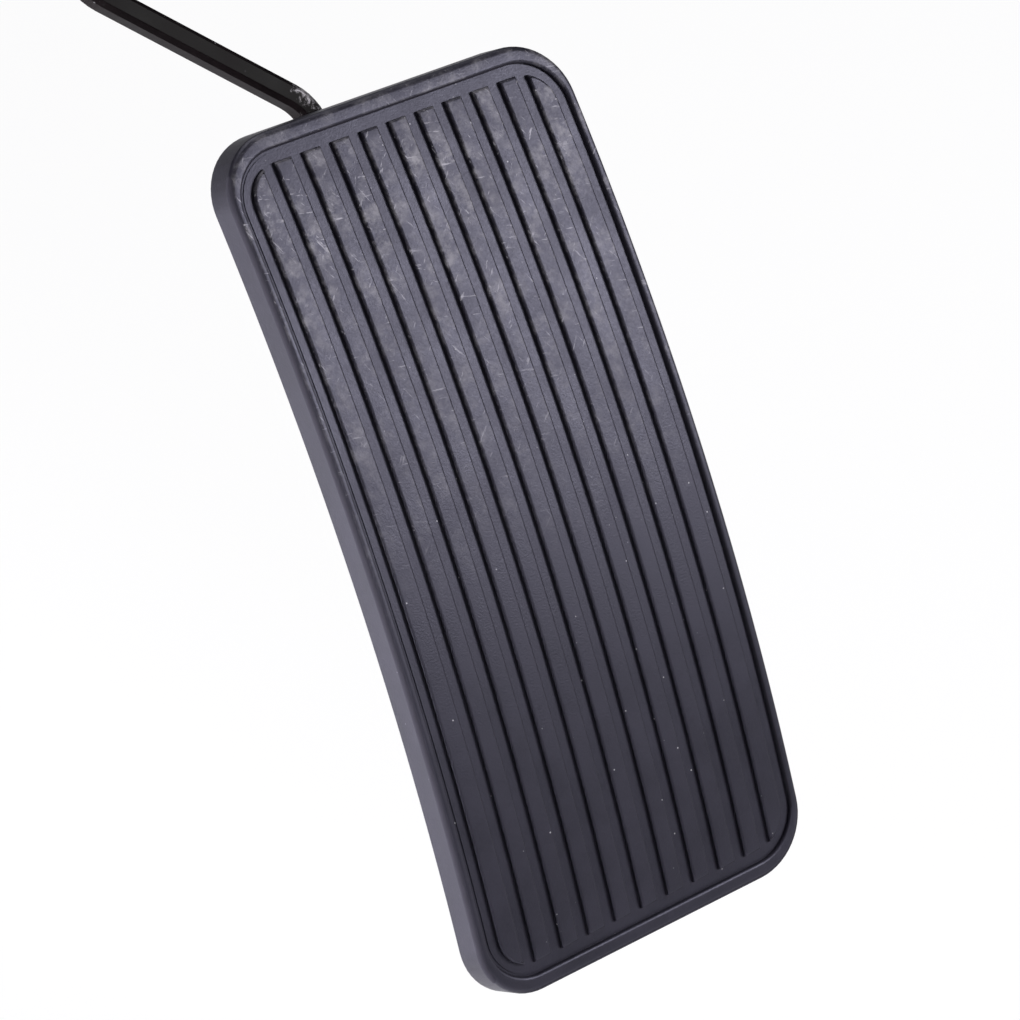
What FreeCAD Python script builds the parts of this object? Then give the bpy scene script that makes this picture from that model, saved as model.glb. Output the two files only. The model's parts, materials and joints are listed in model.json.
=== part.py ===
import FreeCAD, Part
import math
import os
import Sketcher

# Hanging accelerator pedal with a rotary position sensor.
# Frame: +Z up, +Y towards the bulkhead, origin in the middle of the four bolt holes on the mounting face.
# The pad has a frame of its own: x across, y up the pad, z out of the tread, origin at the top of the bow.

doc = FreeCAD.newDocument("accelerator_pedal")
sheet = doc.addObject("Spreadsheet::Sheet", "dim")

# Driving sizes, millimetres and degrees
SIZES = {
    # tread cover and its steel plate
    "pad_width": 62.0,
    "pad_length": 133.7,
    "pad_corner": 9.5,
    "bow_radius": 384.5,
    "cover_depth": 6.5,
    "cover_round": 1.0,
    "rim_side": 1.6,
    "rim_end": 2.7,
    "rim_height": 0.6,
    "field_corner": 7.5,
    "rib_count": 11,
    "rib_pitch": 5.12,
    "rib_width": 3.1,
    "rib_height": 0.75,
    "rib_margin": 1.9,
    "tread_skin": 1.6,
    "plate_gauge": 1.8,
    "plate_border": 3.4,
    "lip_overlap": 5.0,
    "rubber_fit": 0.1,
    # lever arm, a bar on edge
    "arm_gauge": 3.5,
    "arm_depth": 4.2,
    "arm_root_depth": 14.0,
    "arm_edge": 0.7,
    "arm_offset": 6.0,
    "arm_bend_at": 67.3,
    "arm_lean": 47.8,
    "arm_jog": 30.0,
    "arm_bend_radius": 9.0,
    "arm_reach": 225.0,
    "arm_clear": 3.6,
    "foot_start": 4.0,
    "foot_end": 42.0,
    "foot_slope": 12.0,
    "eye_radius": 13.0,
    "arm_place": 6.0,
    "pad_lean": 35.0,
    "pedal_travel": 16.0,
    # bracket
    "web_gauge": 2.5,
    "web_height": 96.0,
    "web_corner": 8.0,
    "bolt_span_x": 36.0,
    "bolt_span_z": 76.0,
    "bolt_hole": 6.6,
    "cheek_gap": 50.0,
    "cheek_height": 46.0,
    "cheek_round": 15.0,
    "bend_inside": 2.5,
    "pivot_standoff": 34.0,
    # pivot
    "shaft_radius": 5.0,
    "shaft_fit": 0.02,
    "bush_clear": 0.05,
    "bush_wall": 2.0,
    "flange_radius": 9.5,
    "flange_gauge": 1.5,
    "end_play": 0.3,
    "hub_radius": 8.0,
    "washer_radius": 9.0,
    "washer_gauge": 1.2,
    "clip_gauge": 1.0,
    "clip_radius": 7.6,
    "clip_groove": 0.8,
    "clip_gap": 6.4,
    "shaft_tail": 2.5,
    # stops
    "lever_gauge": 4.0,
    "lever_place": -2.0,
    "boss_wall": 2.4,
    "lever_inner": 5.0,
    "lever_outer": 20.0,
    "lever_front": 6.0,
    "buffer_radius": 5.0,
    "buffer_height": 10.0,
    "buffer_place": 15.0,
    "buffer_stem": 3.0,
    "stem_short": 0.25,
    "stop_gap": 0.3,
    # return spring, square wire
    "wire_side": 2.0,
    "coil_clear": 1.0,
    "coil_turns": 3,
    "coil_pitch": 2.7,
    "coil_place": -21.5,
    "hook_fit": 0.1,
    # position sensor
    "case_radius": 22.0,
    "case_wall": 2.5,
    "case_floor": 2.5,
    "case_shelf": 2.0,
    "rotor_room": 10.6,
    "board_room": 3.9,
    "shaft_hole_clear": 0.5,
    "ear_gauge": 4.0,
    "ear_height": 38.0,
    "ear_end": 5.0,
    "screw_from_web": 10.0,
    "screw_span": 28.0,
    "screw_radius": 2.0,
    "screw_clear": 0.2,
    "screw_head_radius": 3.5,
    "screw_head_height": 2.5,
    "screw_tip": 0.6,
    "rotor_radius": 13.0,
    "rotor_gauge": 7.0,
    "rotor_gap": 1.2,
    "shaft_flat": 3.5,
    "wiper_length": 6.0,
    "wiper_width": 1.6,
    "wiper_inner": 7.5,
    "wiper_step": 3.2,
    "wiper_gap": 0.3,
    "shaft_proud": 0.15,
    "board_gauge": 1.6,
    "board_clear": 0.4,
    "seal_gauge": 0.6,
    "seal_inset": 0.3,
    "cover_plate": 2.5,
    "spigot_wall": 3.0,
    "socket_width": 13.0,
    "socket_length": 24.0,
    "socket_height": 44.0,
    "socket_wall": 2.0,
    "socket_cavity": 18.0,
    "socket_place": 1.9,
    "pin_side": 1.0,
    "pin_columns": 3,
    "pin_pitch": 5.0,
    "pin_row": 4.0,
    "pin_free": 11.0,
    "pin_inside": 16.2,
}

# Sizes that follow from the driving ones
DERIVED = {
    "field_width": "=pad_width - 2 * rim_side",
    "field_length": "=pad_length - 2 * rim_end",
    "rib_field_width": "=field_width - 2 * rib_margin",
    "rib_field_length": "=field_length - 2 * rib_margin",
    "rib_corner": "=field_corner - rib_margin",
    "field_radius": "=bow_radius - rim_height",
    "rib_radius": "=field_radius + rib_height",
    "plate_front_radius": "=field_radius - tread_skin",
    "plate_back_radius": "=plate_front_radius - plate_gauge",
    "cover_back_radius": "=bow_radius - cover_depth",
    "plate_width": "=pad_width - 2 * plate_border",
    "plate_length": "=pad_length - 2 * plate_border",
    "plate_corner": "=pad_corner - plate_border",
    "mouth_width": "=plate_width - 2 * lip_overlap",
    "mouth_length": "=plate_length - 2 * lip_overlap",
    "end_sag": "=bow_radius - sqrt(bow_radius ^ 2 - (pad_length / 2) ^ 2)",
    "arm_front": "=-(end_sag + cover_depth + arm_clear)",
    "arm_mid": "=arm_front - arm_depth / 2",
    "pad_x": "=arm_place + arm_offset + arm_jog",
    "pad_y": "=-pivot_standoff - arm_reach * sin(pad_lean * 1deg) + arm_mid * cos(pad_lean * 1deg)",
    "pad_z": "=-arm_reach * cos(pad_lean * 1deg) - arm_mid * sin(pad_lean * 1deg)",
    "cheek_inner": "=cheek_gap / 2",
    "cheek_outer": "=cheek_inner + web_gauge",
    "bush_bore": "=shaft_radius + bush_clear",
    "bush_radius": "=bush_bore + bush_wall",
    "hub_end": "=cheek_inner - flange_gauge - end_play",
    "hub_seat": "=hub_radius + shaft_fit",
    "washer_start": "=cheek_outer + end_play",
    "clip_start": "=washer_start + washer_gauge",
    "shaft_right": "=clip_start + clip_gauge + shaft_tail",
    "groove_radius": "=shaft_radius - clip_groove",
    "lever_boss": "=hub_radius + boss_wall",
    "stop_face": "=pivot_standoff - web_gauge - buffer_height - stop_gap",
    "coil_inner": "=hub_radius + coil_clear",
    "coil_radius": "=coil_inner + wire_side / 2",
    "case_base": "=-cheek_outer - case_floor",
    "shelf_x": "=case_base - rotor_room",
    "case_end": "=shelf_x - board_room",
    "case_inner": "=case_radius - case_wall",
    "rotor_space": "=case_inner - case_shelf",
    "rotor_right": "=case_base - rotor_gap",
    "rotor_left": "=rotor_right - rotor_gauge",
    "shaft_left": "=rotor_left - shaft_proud",
    "cover_right": "=case_end - seal_gauge",
    "cover_left": "=cover_right - cover_plate",
    "spigot_radius": "=case_inner - board_clear",
    "ear_face": "=-cheek_outer - ear_gauge",
    "socket_right": "=-cheek_outer - socket_place",
    "socket_floor": "=socket_height - socket_cavity",
    "socket_middle": "=socket_right - socket_width / 2",
}


def fill_sheet():
    row = 1
    for values in (SIZES, DERIVED):
        for alias, value in values.items():
            sheet.set("A%d" % row, str(value))
            sheet.setAlias("A%d" % row, alias)
            row += 1
    doc.recompute()


def value_of(alias):
    found = sheet.get(alias)
    return float(getattr(found, "Value", found))


def bind(item, **expressions):
    for name, expression in expressions.items():
        item.setExpression(name, str(expression))
    return item


def set_base(item, x, y, z):
    for letter, expression in zip("xyz", (x, y, z)):
        item.setExpression("Placement.Base." + letter, str(expression))
    return item


def turn_about_x(item, angle):
    item.Placement = FreeCAD.Placement(item.Placement.Base, FreeCAD.Rotation(FreeCAD.Vector(1, 0, 0), 1))
    item.setExpression("Placement.Rotation.Angle", angle)
    return item


# Turns a drawing that is flat on XY so that it stands on YZ
SIDEWAYS = FreeCAD.Rotation(FreeCAD.Vector(0, 1, 0), FreeCAD.Vector(0, 0, 1), FreeCAD.Vector(1, 0, 0), "XYZ")
TURNS = {
    "X": FreeCAD.Rotation(FreeCAD.Vector(0, 1, 0), 90),
    "Y": FreeCAD.Rotation(FreeCAD.Vector(1, 0, 0), -90),
    "Z": FreeCAD.Rotation(),
}


def cylinder(name, axis, radius, length, x=0, y=0, z=0):
    item = doc.addObject("Part::Cylinder", name)
    item.Placement = FreeCAD.Placement(FreeCAD.Vector(), TURNS[axis])
    bind(item, Radius=radius, Height=length)
    return set_base(item, x, y, z)


def box(name, x, y, z, length, width, height):
    item = doc.addObject("Part::Box", name)
    bind(item, Length=length, Width=width, Height=height)
    return set_base(item, x, y, z)


def fuse(name, *pieces):
    item = doc.addObject("Part::MultiFuse", name)
    item.Shapes = list(pieces)
    item.Refine = True
    return item


def cut(name, base, *tools):
    item = doc.addObject("Part::Cut", name)
    item.Base = base
    item.Tool = tools[0] if len(tools) == 1 else fuse(name + "_tools", *tools)
    item.Refine = True
    return item


def common(name, base, tool):
    item = doc.addObject("Part::Common", name)
    item.Base = base
    item.Tool = tool
    return item


def extrusion(name, wire, direction, length):
    item = doc.addObject("Part::Extrusion", name)
    item.Base = wire
    item.DirMode = "Custom"
    item.Dir = direction
    item.Solid = True
    return bind(item, LengthFwd=length)


def rounded_prism(name, width, length, corner, depth, start="0 mm"):
    """Upright block with a rounded-rectangle plan, centred on its own axis."""
    body = doc.addObject("PartDesign::Body", name)
    sketch = body.newObject("Sketcher::SketchObject", name + "_plan")
    plane = [item for item in body.Origin.OriginFeatures if item.Role == "XY_Plane"][0]
    sketch.AttachmentSupport = [(plane, "")]
    sketch.MapMode = "FlatFace"
    rough = 10
    corners = [FreeCAD.Vector(rough * sx, rough * sy, 0) for sx, sy in ((-1, -1), (1, -1), (1, 1), (-1, 1))]
    for index in range(4):
        sketch.addGeometry(Part.LineSegment(corners[index], corners[(index + 1) % 4]))
    for index in range(4):
        sketch.addConstraint(Sketcher.Constraint("Coincident", index, 2, (index + 1) % 4, 1))
        sketch.addConstraint(Sketcher.Constraint(("Horizontal", "Vertical")[index % 2], index))
    sketch.addConstraint(Sketcher.Constraint("Symmetric", 0, 1, 1, 2, -1, 1))
    across = sketch.addConstraint(Sketcher.Constraint("DistanceX", 0, 1, 0, 2, 2 * rough))
    along = sketch.addConstraint(Sketcher.Constraint("DistanceY", 1, 1, 1, 2, 2 * rough))
    sketch.setExpression("Constraints[%d]" % across, width)
    sketch.setExpression("Constraints[%d]" % along, length)
    pad = body.newObject("PartDesign::Pad", name + "_pad")
    pad.Profile = sketch
    bind(pad, Length=depth)
    doc.recompute()
    upright = [
        "Edge%d" % (number + 1)
        for number, edge in enumerate(pad.Shape.Edges)
        if abs(edge.tangentAt(edge.FirstParameter).z) > 0.99
    ]
    rounding = body.newObject("PartDesign::Fillet", name + "_corners")
    rounding.Base = (pad, upright)
    bind(rounding, Radius=corner)
    body.Tip = rounding
    set_base(body, 0, 0, start)
    return body


def sketch_of(name, edges, placement):
    sketch = doc.addObject("Sketcher::SketchObject", name)
    sketch.Placement = placement
    for edge in edges:
        sketch.addGeometry(edge)
    return sketch


nodes = []


def node(item, label):
    item.Label = label
    nodes.append(item)
    return item


def on_pad(item, label):
    """A finished piece drawn in the pad's frame is leaned back and hung at the end of the arm."""
    turn_about_x(item, "90 - dim.pad_lean")
    set_base(item, "dim.pad_x", "dim.pad_y", "dim.pad_z")
    return node(item, label)


def bow(name, radius):
    """Cylinder of the pad's bow, its axis across the pad and its top at the pad's origin."""
    return cylinder(name, "X", radius, "dim.pad_width * 2", "-dim.pad_width", 0, "-dim.bow_radius")


# Rubber tread cover: bowed slab, raised rim, eleven ribs and a lip that grips the plate from behind
def make_pad_cover():
    depth = "dim.end_sag + dim.cover_depth * 3"
    start = "-(dim.end_sag + dim.cover_depth * 2)"
    plan = rounded_prism("cover_plan", "dim.pad_width", "dim.pad_length", "dim.pad_corner", depth, start)
    front = common("cover_front", plan, bow("rim_bow", "dim.bow_radius"))
    slab = cut("cover_slab", front, bow("back_bow", "dim.cover_back_radius"))
    doc.recompute()
    rounded = doc.addObject("Part::Fillet", "cover_edges")
    rounded.Base = slab
    radius = value_of("cover_round")
    bow_size = value_of("bow_radius")
    front_edges = []
    for number, edge in enumerate(slab.Shape.Edges):
        reaches = [math.hypot(point.y, point.z + bow_size) for point in edge.discretize(5)]
        if all(abs(reach - bow_size) < 0.01 for reach in reaches):
            front_edges.append((number + 1, radius, radius))
    rounded.Edges = front_edges
    field_plan = rounded_prism(
        "field_plan", "dim.field_width", "dim.field_length", "dim.field_corner", depth, start
    )
    field = cut("field_recess", field_plan, bow("field_bow", "dim.field_radius"))
    rib_plan = rounded_prism(
        "rib_plan", "dim.rib_field_width", "dim.rib_field_length", "dim.rib_corner", depth, start
    )
    rib_top = common("rib_top", rib_plan, bow("rib_bow", "dim.rib_radius"))
    rib_block = cut("rib_block", rib_top, bow("rib_root", "dim.field_radius - dim.tread_skin / 2"))
    grooves = []
    groove_count = int(value_of("rib_count")) - 1
    for number in range(groove_count):
        shift = number - (groove_count - 1) / 2
        middle = "%s * dim.rib_pitch" % shift
        grooves.append(box(
            "groove_%d" % (number + 1),
            "%s - (dim.rib_pitch - dim.rib_width) / 2" % middle, "-dim.pad_length / 2", start,
            "dim.rib_pitch - dim.rib_width", "dim.pad_length", depth,
        ))
    ribs = cut("ribs", rib_block, *grooves)
    tread = fuse("tread", cut("cover_dished", rounded, field), ribs)
    pocket_plan = rounded_prism(
        "pocket_plan", "dim.plate_width + 2 * dim.rubber_fit", "dim.plate_length + 2 * dim.rubber_fit",
        "dim.plate_corner", depth, start,
    )
    pocket_bow = bow("pocket_bow", "dim.plate_front_radius + dim.rubber_fit")
    pocket_front = common("pocket_front", pocket_plan, pocket_bow)
    pocket = cut("pocket", pocket_front, bow("pocket_back", "dim.plate_back_radius - dim.rubber_fit"))
    mouth_plan = rounded_prism(
        "mouth_plan", "dim.mouth_width", "dim.mouth_length", "dim.plate_corner", depth, start
    )
    mouth = common("mouth", mouth_plan, bow("mouth_bow", "dim.plate_back_radius"))
    on_pad(cut("pad_cover", tread, pocket, mouth), "pad_cover")


# Bowed steel plate inside the cover
def make_pad_plate():
    depth = "dim.end_sag + dim.cover_depth * 3"
    start = "-(dim.end_sag + dim.cover_depth * 2)"
    plan = rounded_prism(
        "plate_plan", "dim.plate_width", "dim.plate_length", "dim.plate_corner", depth, start
    )
    front = common("plate_front", plan, bow("plate_front_bow", "dim.plate_front_radius"))
    on_pad(cut("pad_plate", front, bow("plate_back_bow", "dim.plate_back_radius")), "pad_plate")


def line(start, end):
    return Part.LineSegment(FreeCAD.Vector(*start, 0), FreeCAD.Vector(*end, 0))


def arc(start, middle, end):
    return Part.Arc(*(FreeCAD.Vector(*point, 0) for point in (start, middle, end)))


def bent_strip(path, gauge, bend_radius):
    """Outline of a strip of even gauge along a path of straight runs with rounded bends."""
    half = gauge / 2
    sides = []
    for side in (1, -1):
        edges = []
        last = None
        for index, point in enumerate(path):
            here = FreeCAD.Vector(*point, 0)
            inward = (here - FreeCAD.Vector(*path[index - 1], 0)).normalize() if index else None
            outward = None
            if index < len(path) - 1:
                outward = (FreeCAD.Vector(*path[index + 1], 0) - here).normalize()
            if inward is None or outward is None:
                along = outward or inward
                spot = here + FreeCAD.Vector(-along.y, along.x, 0) * half * side
                if last is not None:
                    edges.append(Part.LineSegment(last, spot))
                last = spot
                continue
            turn = inward.cross(outward).z
            angle = math.acos(max(-1.0, min(1.0, inward.dot(outward))))
            set_back = bend_radius * math.tan(angle / 2)
            sign = 1 if turn > 0 else -1
            normal_in = FreeCAD.Vector(-inward.y, inward.x, 0)
            normal_out = FreeCAD.Vector(-outward.y, outward.x, 0)
            centre = here - inward * set_back + normal_in * bend_radius * sign
            reach = bend_radius - half * side * sign
            first = centre - normal_in * reach * sign
            final = centre - normal_out * reach * sign
            halfway = centre - (normal_in + normal_out).normalize() * reach * sign
            edges.append(Part.LineSegment(last, first))
            edges.append(Part.Arc(first, halfway, final))
            last = final
        sides.append(edges)
    left, right = sides
    caps = [
        Part.LineSegment(left[0].StartPoint, right[0].StartPoint),
        Part.LineSegment(left[-1].EndPoint, right[-1].EndPoint),
    ]
    return left + right + caps


# Lever arm: one steel blank on edge, a foot along the plate, a jog to the side and an eye at the hub
def make_pedal_arm():
    reach = value_of("arm_reach")
    offset = -value_of("arm_offset")
    jog = value_of("arm_jog")
    bend_at = value_of("arm_bend_at")
    rise = jog / math.tan(math.radians(value_of("arm_lean")))
    eye = value_of("eye_radius")
    path = [
        (offset, value_of("foot_start")),
        (offset, bend_at),
        (offset - jog, bend_at + rise),
        (offset - jog, reach + 2 * eye),
    ]
    strip_wire = bent_strip(path, value_of("arm_gauge"), value_of("arm_bend_radius"))
    below = FreeCAD.Placement(FreeCAD.Vector(0, 0, -reach / 2), FreeCAD.Rotation())
    flat = sketch_of("arm_strip", strip_wire, below)
    strip = extrusion("arm_bent", flat, FreeCAD.Vector(0, 0, 1), "dim.arm_reach")

    front = value_of("arm_front")
    back = front - value_of("arm_depth")
    middle = value_of("arm_mid")
    half_root = value_of("arm_root_depth") / 2
    weld = value_of("plate_back_radius")
    centre = -value_of("bow_radius")
    start = value_of("foot_start")
    end = value_of("foot_end")
    taper_at = bend_at + rise + value_of("arm_bend_radius")
    join = reach - math.sqrt(eye ** 2 - half_root ** 2)

    def plate_height(along):
        return centre + math.sqrt(weld ** 2 - along ** 2)

    halfway = (start + end) / 2
    profile = [
        arc((start, plate_height(start)), (halfway, plate_height(halfway)), (end, plate_height(end))),
        line((end, plate_height(end)), (end + value_of("foot_slope"), front)),
        line((end + value_of("foot_slope"), front), (taper_at, front)),
        line((taper_at, front), (join, middle + half_root)),
        arc((join, middle + half_root), (reach + eye, middle), (join, middle - half_root)),
        line((join, middle - half_root), (taper_at, back)),
        line((taper_at, back), (start + value_of("arm_depth"), back)),
        line((start + value_of("arm_depth"), back), (start, plate_height(start))),
    ]
    side_x = -value_of("arm_offset") - jog - value_of("arm_gauge")
    side = sketch_of("arm_side", profile, FreeCAD.Placement(FreeCAD.Vector(side_x, 0, 0), SIDEWAYS))
    blank = extrusion("arm_blank", side, FreeCAD.Vector(1, 0, 0), "dim.arm_jog + 2 * dim.arm_gauge")
    eye_hole = cylinder(
        "arm_eye", "X", "dim.hub_seat", "dim.pad_width * 2", "-dim.pad_width * 2",
        "dim.arm_reach", "dim.arm_mid",
    )
    bar = common("arm_form", strip, blank)
    doc.recompute()
    broken = doc.addObject("Part::Chamfer", "arm_edges")
    broken.Base = bar
    width = value_of("arm_edge")
    long_edges = []
    for number, edge in enumerate(bar.Shape.Edges):
        if edge.Curve.TypeId == "Part::GeomLine" and edge.Length > value_of("arm_root_depth"):
            long_edges.append((number + 1, width, width))
    broken.Edges = long_edges
    on_pad(cut("pedal_arm", broken, eye_hole), "pedal_arm")


# Pressed bracket: web with four bolt holes and two cheeks that carry the pivot
def make_bracket():
    web_plan = rounded_prism(
        "web_plan", "dim.cheek_gap + 2 * dim.web_gauge", "dim.web_height", "dim.web_corner", "dim.web_gauge"
    )
    web_plan.Placement = FreeCAD.Placement(FreeCAD.Vector(), FreeCAD.Rotation(FreeCAD.Vector(1, 0, 0), 90))
    pieces = [web_plan]
    standoff = value_of("pivot_standoff")
    tip = value_of("cheek_round")
    tall = value_of("cheek_height") / 2
    slope = math.atan2(tall, standoff) - math.asin(tip / math.hypot(standoff, tall))
    touch = (-standoff - tip * math.sin(slope), tip * math.cos(slope))
    outline = [
        line((0, tall), touch),
        arc(touch, (-standoff - tip, 0), (touch[0], -touch[1])),
        line((touch[0], -touch[1]), (0, -tall)),
        line((0, -tall), (0, tall)),
    ]
    for side, start in (("left", "-dim.cheek_outer"), ("right", "dim.cheek_inner")):
        wire = sketch_of("cheek_wire_" + side, outline, FreeCAD.Placement(FreeCAD.Vector(), SIDEWAYS))
        set_base(wire, start, 0, 0)
        pieces.append(extrusion("cheek_" + side, wire, FreeCAD.Vector(1, 0, 0), "dim.web_gauge"))
    tools = [cylinder(
        "bush_holes", "X", "dim.bush_radius", "2 * dim.cheek_outer", "-dim.cheek_outer", "-dim.pivot_standoff"
    )]
    for across in (-1, 1):
        for up in (-1, 1):
            tools.append(cylinder(
                "bolt_hole_%d%d" % (across + 1, up + 1), "Y", "dim.bolt_hole / 2", "dim.web_gauge",
                "%d * dim.bolt_span_x / 2" % across, "-dim.web_gauge", "%d * dim.bolt_span_z / 2" % up,
            ))
    for up in (-1, 1):
        tools.append(cylinder(
            "stem_hole_%d" % (up + 1), "Y", "dim.buffer_stem", "dim.web_gauge",
            "dim.lever_place", "-dim.web_gauge", "%d * dim.buffer_place" % up,
        ))
        tools.append(cylinder(
            "thread_%d" % (up + 1), "X", "dim.screw_radius", "dim.web_gauge",
            "-dim.cheek_outer", "-dim.screw_from_web", "%d * dim.screw_span / 2" % up,
        ))
    sheet_metal = fuse("bracket_sheet", *pieces)
    doc.recompute()
    bends = doc.addObject("Part::Fillet", "bracket_bends")
    bends.Base = sheet_metal
    radius = value_of("bend_inside")
    inside_edges = []
    for number, edge in enumerate(sheet_metal.Shape.Edges):
        middle = edge.CenterOfMass
        on_cheek = abs(abs(middle.x) - value_of("cheek_inner")) < 0.01
        if on_cheek and abs(middle.y + value_of("web_gauge")) < 0.01:
            inside_edges.append((number + 1, radius, radius))
    bends.Edges = inside_edges
    node(cut("bracket", bends, *tools), "bracket")


# Flanged plastic bushes in the cheeks
def make_bushes():
    for side, sleeve_start, flange_start in (
        ("left", "-dim.cheek_outer", "-dim.cheek_inner"),
        ("right", "dim.cheek_inner - dim.flange_gauge", "dim.cheek_inner - dim.flange_gauge"),
    ):
        sleeve = cylinder(
            "sleeve_" + side, "X", "dim.bush_radius", "dim.web_gauge + dim.flange_gauge",
            sleeve_start, "-dim.pivot_standoff",
        )
        flange = cylinder(
            "flange_" + side, "X", "dim.flange_radius", "dim.flange_gauge",
            flange_start, "-dim.pivot_standoff",
        )
        bore = cylinder(
            "bore_" + side, "X", "dim.bush_bore", "2 * dim.cheek_outer",
            "-dim.cheek_outer", "-dim.pivot_standoff",
        )
        node(cut("bush_" + side, fuse("bush_solid_" + side, sleeve, flange), bore), "bush_" + side)


# Hub tube, shaft, washer and clip
def make_pivot():
    pivot_y = "-dim.pivot_standoff"
    tube = cylinder("hub_outer", "X", "dim.hub_radius", "2 * dim.hub_end", "-dim.hub_end", pivot_y)
    shaft_seat = "dim.shaft_radius + dim.shaft_fit"
    bore = cylinder("hub_bore", "X", shaft_seat, "2 * dim.hub_end", "-dim.hub_end", pivot_y)
    node(cut("hub_tube", tube, bore), "hub_tube")

    shaft_length = "dim.shaft_right - dim.shaft_left"
    rod = cylinder("shaft_rod", "X", "dim.shaft_radius", shaft_length, "dim.shaft_left", pivot_y)
    groove_outer = cylinder(
        "groove_outer", "X", "dim.shaft_radius * 2", "dim.clip_gauge", "dim.clip_start", pivot_y
    )
    groove_core = cylinder(
        "groove_core", "X", "dim.groove_radius", "dim.clip_gauge", "dim.clip_start", pivot_y
    )
    flat = box(
        "shaft_flat_cut", "dim.shaft_left", "-dim.pivot_standoff - dim.shaft_radius", "dim.shaft_flat",
        "dim.rotor_right - dim.shaft_left", "2 * dim.shaft_radius", "dim.shaft_radius",
    )
    node(cut("pivot_shaft", rod, cut("groove_ring", groove_outer, groove_core), flat), "pivot_shaft")

    disc = cylinder("washer_disc", "X", "dim.washer_radius", "dim.washer_gauge", "dim.washer_start", pivot_y)
    hole = cylinder(
        "washer_hole", "X", "dim.bush_bore", "dim.washer_gauge", "dim.washer_start", pivot_y
    )
    node(cut("shaft_washer", disc, hole), "shaft_washer")

    ring = cylinder("clip_ring", "X", "dim.clip_radius", "dim.clip_gauge", "dim.clip_start", pivot_y)
    seat = cylinder(
        "clip_seat", "X", "dim.groove_radius + dim.shaft_fit", "dim.clip_gauge", "dim.clip_start", pivot_y
    )
    slot = box(
        "clip_slot", "dim.clip_start", "-dim.pivot_standoff - dim.clip_gap / 2", "-dim.clip_radius",
        "dim.clip_gauge", "dim.clip_gap", "dim.clip_radius",
    )
    node(cut("shaft_clip", ring, seat, slot), "shaft_clip")


# Stop lever on the hub, and the two rubber buffers that it meets
def make_stops():
    left = "dim.lever_place - dim.lever_gauge / 2"
    boss = cylinder("lever_boss_disc", "X", "dim.lever_boss", "dim.lever_gauge", left, "-dim.pivot_standoff")
    upper = box(
        "lever_upper", left, "-dim.pivot_standoff - dim.lever_front", "dim.lever_inner",
        "dim.lever_gauge", "dim.lever_front + dim.stop_face", "dim.lever_outer - dim.lever_inner",
    )
    lower = box(
        "lever_lower", left,
        "-dim.pivot_standoff - dim.lever_front * cos(dim.pedal_travel * 1deg)"
        " - dim.lever_outer * sin(dim.pedal_travel * 1deg)",
        "dim.lever_front * sin(dim.pedal_travel * 1deg) - dim.lever_outer * cos(dim.pedal_travel * 1deg)",
        "dim.lever_gauge", "dim.lever_front + dim.stop_face", "dim.lever_outer - dim.lever_inner",
    )
    turn_about_x(lower, "-dim.pedal_travel")
    hole = cylinder(
        "lever_hole", "X", "dim.hub_seat", "dim.lever_gauge", left, "-dim.pivot_standoff"
    )
    node(cut("stop_lever", fuse("lever_sheet", boss, upper, lower), hole), "stop_lever")

    for label, up in (("idle_stop_buffer", 1), ("full_stop_buffer", -1)):
        place = "%d * dim.buffer_place" % up
        cushion = cylinder(
            label + "_head", "Y", "dim.buffer_radius", "dim.buffer_height", "dim.lever_place",
            "-dim.web_gauge - dim.buffer_height", place,
        )
        stem = cylinder(
            label + "_stem", "Y", "dim.buffer_stem - dim.rubber_fit", "dim.web_gauge - dim.stem_short",
            "dim.lever_place", "-dim.web_gauge", place,
        )
        node(fuse(label, cushion, stem), label)


# Return spring round the hub: one leg on the web, the other hooked in front of the stop lever
def make_return_spring():
    helix = doc.addObject("Part::Helix", "coil_path")
    bind(helix, Pitch="dim.coil_pitch", Height="dim.coil_pitch * dim.coil_turns", Radius="dim.coil_radius")
    half = value_of("wire_side") / 2
    radius = value_of("coil_radius")
    corners = [(radius - half, -half), (radius + half, -half), (radius + half, half), (radius - half, half)]
    wire = [line(corners[index], corners[(index + 1) % 4]) for index in range(4)]
    upright = FreeCAD.Rotation(FreeCAD.Vector(1, 0, 0), 90)
    section = sketch_of("wire_section", wire, FreeCAD.Placement(FreeCAD.Vector(), upright))
    coil = doc.addObject("Part::Sweep", "coil")
    coil.Sections = [section]
    coil.Spine = (helix, [])
    coil.Solid = True
    coil.Frenet = True
    side = "dim.wire_side"
    inner = "dim.coil_radius - dim.wire_side / 2"
    web_reach = "dim.pivot_standoff - dim.web_gauge - dim.stop_gap"
    web_leg = box("web_leg", inner, "-(%s)" % web_reach, "-dim.wire_side / 2", side, web_reach, side)
    end_x = "dim.coil_pitch * dim.coil_turns - dim.wire_side / 2"
    hook_y = "dim.lever_front + dim.hook_fit"
    lever_leg = box("lever_leg", inner, 0, end_x, side, "%s + dim.wire_side" % hook_y, side)
    hook_length = "dim.lever_place - dim.coil_place - (%s)" % end_x
    hook = box("lever_hook", inner, hook_y, end_x, side, side, hook_length)
    spring = fuse("return_spring", coil, web_leg, lever_leg, hook)
    spring.Placement = FreeCAD.Placement(
        FreeCAD.Vector(),
        FreeCAD.Rotation(FreeCAD.Vector(0, 0, 1), FreeCAD.Vector(0, -1, 0), FreeCAD.Vector(1, 0, 0), "XYZ"),
    )
    set_base(spring, "dim.coil_place", "-dim.pivot_standoff", 0)
    node(spring, "return_spring")


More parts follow.
